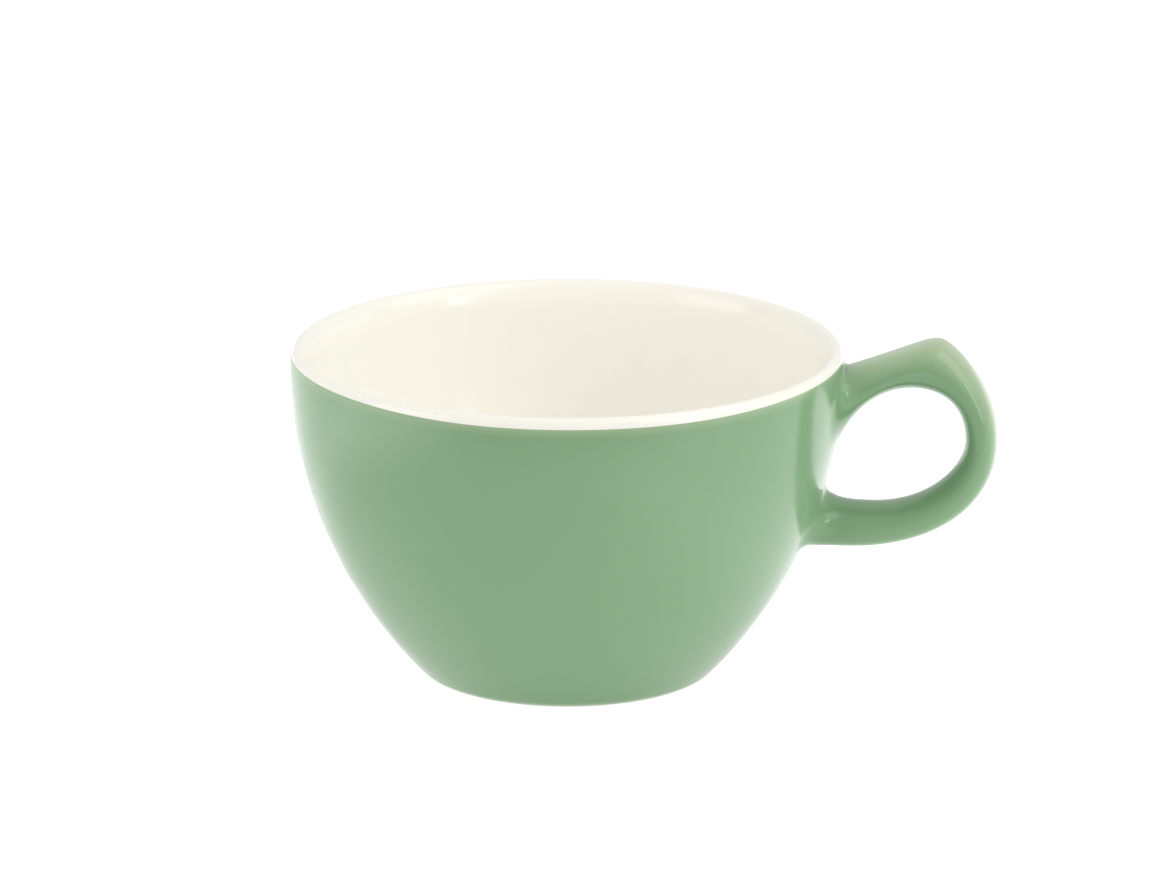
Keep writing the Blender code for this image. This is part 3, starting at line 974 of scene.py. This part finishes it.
def sheet_material(name, colour):
    """Matte material of a studio sheet, all but even in colour, with its nodes and shader."""
    material, tree, shader = new_material(name)
    tint = blend(tree, noise(tree, *SHEET_NOISE), colour, tinted(colour, SHEET_SHADE))
    feed(tree, shader, {"Base Color": tint, "Roughness": SHEET_ROUGHNESS, "Specular IOR Level": 0.0})
    return material, tree, shader


def floor_material():
    """Pale studio floor, lit from below like a shooting table."""
    material, tree, shader = sheet_material("pale_floor", FLOOR)
    axes = own_axes(tree)
    glow = graded(tree, axes["Y"], BACK_START, BACK_END, FLOOR_GLOW, FLOOR_GLOW + BACK_GLOW)
    glow = added(tree, glow, graded(tree, axes["X"], GLOW_START, GLOW_END, 0.0, RIGHT_GLOW))
    glow = added(tree, glow, graded(tree, axes["X"], FADE_START, FADE_END, 0.0, -FAR_FADE))
    ahead = graded(tree, axes["Y"], BACK_START, BACK_END, LEFT_GLOW, 0.0)
    left = graded(tree, axes["X"], LEFT_END, LEFT_START, 1.0, 0.0)
    glow = added(tree, glow, scaled(tree, ahead, left))
    feed(tree, shader, {"Emission Color": PURE_WHITE, "Emission Strength": glow})
    return material


def card_material():
    """Grey card that fades in from its near edge."""
    material, tree, shader = sheet_material("grey_card", CARD)
    edge = FLOOR_SIZE / 2
    fade = graded(tree, own_axes(tree)["Y"], edge - CARD_FADE, edge, 1.0, 0.0)
    feed(tree, shader, {"Alpha": fade})
    return material


def green_coat_meshes():
    """Meshes of the green coat on the bowl and on the handle, shaded as one skin."""
    coat, grid = draw_coat()
    draw_handle(coat, grid)
    bmesh.ops.recalc_face_normals(coat.skin, faces=coat.skin.faces)
    coat.skin.normal_update()
    smooth = coat.skin.verts.layers.float_vector.new("smooth")
    for corner in coat.skin.verts:
        corner[smooth] = corner.normal
    bowl_coat = split_coat(coat, Coat.BOWL, "bowl_coat")
    handle_coat = split_coat(coat, Coat.HANDLE, "handle_coat")
    coat.skin.free()
    return bowl_coat, handle_coat


def build_cup():
    """Builds every visible piece and gives the hidden packed ones their clay."""
    cloud = tinted(GREEN, GREEN_CLOUD_SHADE)
    green = glaze_material("green_glaze", GREEN, cloud, GREEN_DEEP_AND_SHADE, GREEN_THIN_AND_LIT, GREEN_ROUGHNESS)
    # Deeper white of the specks; the white coat carries neither pooled glaze nor painted shade
    deep_and_shade = tinted(WHITE, WHITE_SPECK_SHADE)
    white = glaze_material("white_glaze", WHITE, WHITE_WARM, deep_and_shade, WHITE_THIN, WHITE_ROUGHNESS)
    clay = clay_material("bare_clay", CLAY, CLAY_DARK)
    slip = clay_material("dried_slip", SLIP, CLAY_DARK)
    bowl_coat, handle_coat = green_coat_meshes()
    add_piece("bowl_coat", bowl_coat, ["outer_glaze"], green)
    add_piece("handle_coat", handle_coat, ["handle_glaze"], green)
    add_piece("white_coat", white_coat_mesh(), ["inner_glaze"], white)
    add_piece("clay_bowl", clay_bowl_mesh(), ["bowl"], clay)
    add_piece("base_coat", base_coat_mesh(), ["base_glaze"], green)
    for node, material in (("handle", clay), ("upper_slip", slip), ("lower_slip", slip)):
        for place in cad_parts[node].material_slots:
            place.material = material


def add_camera():
    """Camera at the photo's viewing angle."""
    rim_middle = Vector((AXIS_X, 0.0, HEIGHT))
    level = math.cos(VIEW_ELEVATION)
    back = Vector((math.sin(VIEW_TURN) * level, -math.cos(VIEW_TURN) * level, math.sin(VIEW_ELEVATION)))
    right = Vector((0.0, 0.0, 1.0)).cross(back).normalized()
    up = back.cross(right)
    place = rim_middle + back * VIEW_DISTANCE
    aim = rim_middle + right * AIM_RIGHT - up * AIM_DOWN
    data = bpy.data.cameras.new("camera")
    data.sensor_width = SENSOR
    data.lens = LENS
    camera = bpy.data.objects.new("camera", data)
    camera.location = place
    camera.rotation_euler = (aim - place).to_track_quat("-Z", "Y").to_euler()
    bpy.context.collection.objects.link(camera)
    bpy.context.scene.camera = camera


def add_sheet(name, place, material):
    """Level sheet of the studio, which isn't part of the cup."""
    drawn = bmesh.new()
    bmesh.ops.create_grid(drawn, x_segments=SHEET_STEPS, y_segments=SHEET_STEPS, size=FLOOR_SIZE / 2)
    mesh = bpy.data.meshes.new(name)
    drawn.to_mesh(mesh)
    drawn.free()
    mesh.materials.append(material)
    sheet = bpy.data.objects.new(name, mesh)
    sheet.location = place
    bpy.context.collection.objects.link(sheet)
    return sheet


def add_floor():
    """Plain pale floor under the foot, and the card ahead of it, which only light and reflections see."""
    add_sheet("floor", Vector((0.0, 0.0, -FLOOR_GAP)), floor_material())
    card = add_sheet("grey_card", Vector((0.0, CARD_START - FLOOR_SIZE / 2, CARD_LIFT)), card_material())
    card.visible_camera = False
    card.visible_shadow = False


def add_world():
    """Plain white surroundings."""
    world = bpy.data.worlds.new("studio")
    world.use_nodes = True
    background = world.node_tree.nodes["Background"]
    background.inputs["Color"].default_value = PURE_WHITE
    background.inputs["Strength"].default_value = SURROUND_LIGHT
    bpy.context.scene.world = world


def add_softbox(name, place, width, height, power):
    """Large soft light that faces the cup."""
    data = bpy.data.lights.new(name, "AREA")
    data.shape = "RECTANGLE"
    data.size = width
    data.size_y = height
    data.energy = power
    light = bpy.data.objects.new(name, data)
    light.location = place
    middle = Vector((0.0, 0.0, HEIGHT / 2))
    light.rotation_euler = (middle - light.location).to_track_quat("-Z", "Y").to_euler()
    light.visible_camera = False
    bpy.context.collection.objects.link(light)


build_cup()
add_camera()
add_floor()
add_world()
for box_name, box in SOFT_BOXES.items():
    add_softbox(box_name, *box)
bpy.context.scene.view_settings.view_transform = "Standard"

bpy.context.view_layer.update()
